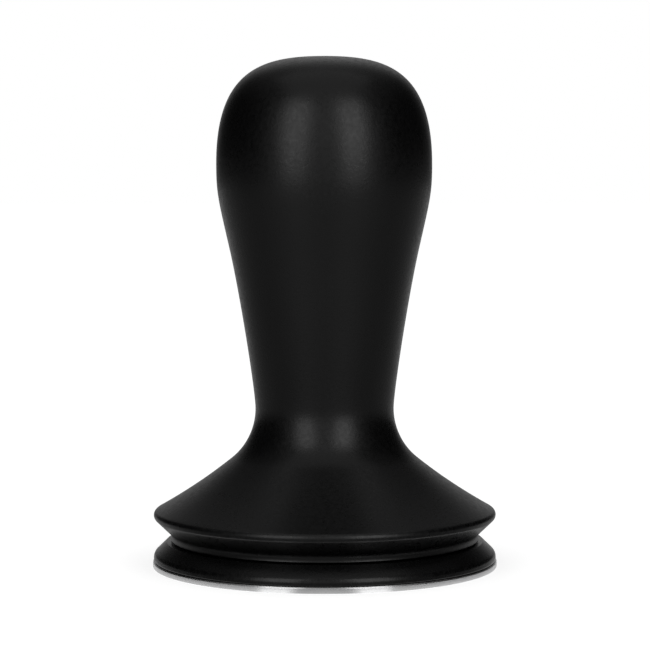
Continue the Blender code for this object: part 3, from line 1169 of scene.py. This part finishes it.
world = bpy.data.worlds.new("white_studio")
scene.world = world
world.use_nodes = True
world.cycles.sampling_method = "NONE"
tree = world.node_tree
white = tree.nodes["Background"]
fill(white, {"Color": WHITE, "Strength": spread(tree, seen_directly(tree), AMBIENT, 1.0)})

paper, tree, shader, place = new_material("white_paper")
paper.cycles.emission_sampling = "NONE"
fill(
    shader,
    {
        "Base Color": FLOOR_COLOUR,
        "Roughness": 0.9,
        "Specular IOR Level": 0.0,
        "Emission Color": WHITE,
        "Emission Strength": spread(tree, seen_directly(tree), 0.0, FLOOR_GLOW),
    },
)


def stage_mesh(name, corners, faces, finish):
    mesh = bpy.data.meshes.new(name)
    mesh.from_pydata(corners, [], faces)
    mesh.materials.append(finish)
    made = bpy.data.objects.new(name, mesh)
    scene.collection.objects.link(made)
    return made


half = FLOOR_SIZE / 2
stage_mesh(
    "floor",
    [(-half, -half, 0.0), (half, -half, 0.0), (half, half, 0.0), (-half, half, 0.0)],
    [(0, 1, 2, 3)],
    paper,
)
print("floor:", FLOOR_SIZE, "m wide")

# %% [markdown]
# A black object shows its surroundings more than itself, so a photographer builds what it should
# reflect. Two tall softboxes stand left and right of the camera and a dim one hangs overhead. Cards
# stand round the set: grey in front, black at the sides, and pale behind, where they draw the thin
# bright line along the outline. More cards lie on the floor in three rings. The innermost is the one
# that the steel edge mirrors. The cards are there for reflections only, so they are hidden from the
# camera and from diffuse light.

# %% Softboxes
MIDDLE = Vector((0.0, 0.0, 45.0 * MM))
ASIDE = 32.0
RAISED = 23.0
AWAY = 0.75
TALL = (0.34, 0.66)


def towards(azimuth, elevation):
    """Direction from the object; azimuth 0 is the camera's side, and both are in degrees."""
    a, e = math.radians(azimuth), math.radians(elevation)
    return Vector((math.sin(a) * math.cos(e), -math.cos(a) * math.cos(e), math.sin(e)))


def softbox(name, azimuth, elevation, distance, size, brightness):
    """Area light that faces the object; a brightness of 1 would look just white."""
    light = bpy.data.lights.new(name, "AREA")
    light.shape = "RECTANGLE"
    light.size, light.size_y = size
    light.energy = 4.0 * size[0] * size[1] * brightness
    made = bpy.data.objects.new(name, light)
    scene.collection.objects.link(made)
    aim = towards(azimuth, elevation)
    made.location = MIDDLE + aim * distance
    made.rotation_mode = "QUATERNION"
    made.rotation_quaternion = aim.to_track_quat("Z", "Y")
    made.visible_camera = False
    print(f"{name}: {light.energy:.3f} W")


softbox("softbox_left", -ASIDE, RAISED, AWAY, TALL, brightness=0.95)
softbox("softbox_right", ASIDE, RAISED, AWAY, TALL, brightness=1.05)
softbox("softbox_overhead", 0.0, elevation=80.0, distance=0.8, size=(1.0, 1.0), brightness=0.16)

# %% [markdown]
# A card's finish is plain emission, so it shows the same grey whatever the light. The greys follow
# the azimuth. The wall has two ramps of them, one for its foot and one for its top, blended by height.
# All the greys were fitted to the reflections in the photograph, for its point of view.

# %% Card finish
def card_finish(name):
    """Card that shows its own brightness, whatever the light."""
    made = bpy.data.materials.new(name)
    made.use_nodes = True
    made.cycles.emission_sampling = "NONE"
    tree = made.node_tree
    tree.nodes.remove(tree.nodes["Principled BSDF"])
    glow = node(tree, "ShaderNodeEmission")
    fill(tree.nodes["Material Output"], {"Surface": glow.outputs[0]})
    return made, tree, glow


def tone_ramp(tree, share, tones):
    """Greys by azimuth, for the object's left and right alike."""
    ramp = node(tree, "ShaderNodeValToRGB", {"Fac": share})
    stops = ramp.color_ramp.elements
    while len(stops) < len(tones):
        stops.new(0.5)
    for stop, (azimuth, brightness) in zip(stops, tones):
        stop.position = azimuth / 180
        stop.color = (brightness, brightness, brightness, 1.0)
    return ramp.outputs["Color"]


def round_the_set(tree):
    """How far round towards the back a point of a card lies, from 0 to 1, and its height."""
    place = node(tree, "ShaderNodeTexCoord").outputs["Object"]
    axes = node(tree, "ShaderNodeSeparateXYZ", {0: place}).outputs
    front = calc(tree, "MULTIPLY", axes["Y"], -1.0)
    sideways = calc(tree, "ABSOLUTE", calc(tree, "ARCTAN2", axes["X"], front))
    return calc(tree, "DIVIDE", sideways, math.pi), axes["Z"]


def toned_card(name, tones):
    """Card with one grey for each azimuth."""
    made, tree, glow = card_finish(name)
    share, _ = round_the_set(tree)
    fill(glow, {"Color": tone_ramp(tree, share, tones)})
    return made


LOW_TONES = (
    (0, 0.36), (25, 0.31), (50, 0.22), (65, 0.095), (80, 0.012), (130, 0.008), (150, 0.036),
    (165, 0.32), (180, 0.40),
)
HIGH_TONES = ((0, 0.13), (65, 0.11), (100, 0.06), (130, 0.07), (150, 0.12), (180, 0.25))
WALL_BLEND = (0.6, 1.1)
wall_card, tree, glow = card_finish("wall_card")
share, wall_height = round_the_set(tree)
rise = band(tree, wall_height, *WALL_BLEND)
foot, top = (tone_ramp(tree, share, tones) for tones in (LOW_TONES, HIGH_TONES))
fill(glow, {"Color": mixed(tree, rise, foot, top)})
print("wall card:", len(tree.nodes), "nodes")

# %% [markdown]
# What lies on the floor shows in all that leans downwards: the taper, the groove and the foot of the
# rims. The steel edge sees the floor close by, and the inner ring is a painted reflection for it: its
# greys by azimuth set how bright the edge looks all round, so it is the palest. Two places in it are
# brighter still; they paint the two bright spots on the steel, a painted highlight. The wider rings
# are darkest at the sides and palest behind.

# %% Cards
CARD_RADIUS = 1.0
CARD_HEIGHT = 1.9
ROOF_TONE = 0.124
NEAR_EDGE = 29.05 * MM
MIDDLE_EDGE = 31.5 * MM
FAR_EDGE = 90.0 * MM
PANEL_ANGLE = 5
# The inner card's greys are a painted reflection on the steel edge, and the peak from 13 to 20 degrees
# paints its two bright spots.
NEAR_PAINTED_TONES = (
    (0, 0.58), (8, 0.46), (10.5, 0.50), (13, 1.05), (20, 1.05), (22.5, 0.65), (26, 0.75),
    (33, 0.85), (45, 0.85), (60, 0.72), (75, 0.58), (90, 0.58), (180, 0.55),
)
MIDDLE_TONES = (
    (0, 0.185), (24, 0.20), (32, 0.14), (45, 0.10), (60, 0.10), (80, 0.167), (100, 0.29),
    (125, 0.41), (150, 0.47), (180, 0.49),
)
FAR_TONES = (
    (0, 0.24), (30, 0.32), (60, 0.21), (80, 0.157), (105, 0.152), (130, 0.195), (150, 0.35),
    (168, 0.50), (180, 0.53),
)


def card_band(name, first, last, finish):
    """Band of card round the object, from one (radius, height) to another."""
    corners, faces = [], []
    for number, azimuth in enumerate(range(-180, 181, PANEL_ANGLE)):
        way = towards(azimuth, 0.0)
        for reach, height in (first, last):
            corners.append((way.x * reach, way.y * reach, height))
        if number:
            faces.append((2 * number - 2, 2 * number, 2 * number + 1, 2 * number - 1))
    card = stage_mesh(name, corners, faces, finish)
    card.visible_camera = False
    card.visible_diffuse = False
    card.visible_shadow = False
    print(name, "of", len(faces), "panels")


LIFT = 0.05 * MM
eaves = (CARD_RADIUS, CARD_HEIGHT)
card_band("wall_card", (CARD_RADIUS, 0.0), eaves, wall_card)
roof_card, _, glow = card_finish("roof_card")
fill(glow, {"Color": (ROOF_TONE, ROOF_TONE, ROOF_TONE, 1.0)})
card_band("roof_card", eaves, (0.0, CARD_HEIGHT), roof_card)
for name, inner, outer, tones in (
    ("near_floor_card", NEAR_EDGE, MIDDLE_EDGE, NEAR_PAINTED_TONES),
    ("middle_floor_card", MIDDLE_EDGE, FAR_EDGE, MIDDLE_TONES),
    ("far_floor_card", FAR_EDGE, CARD_RADIUS, FAR_TONES),
):
    card_band(name, (inner, LIFT), (outer, LIFT), toned_card(name, tones))
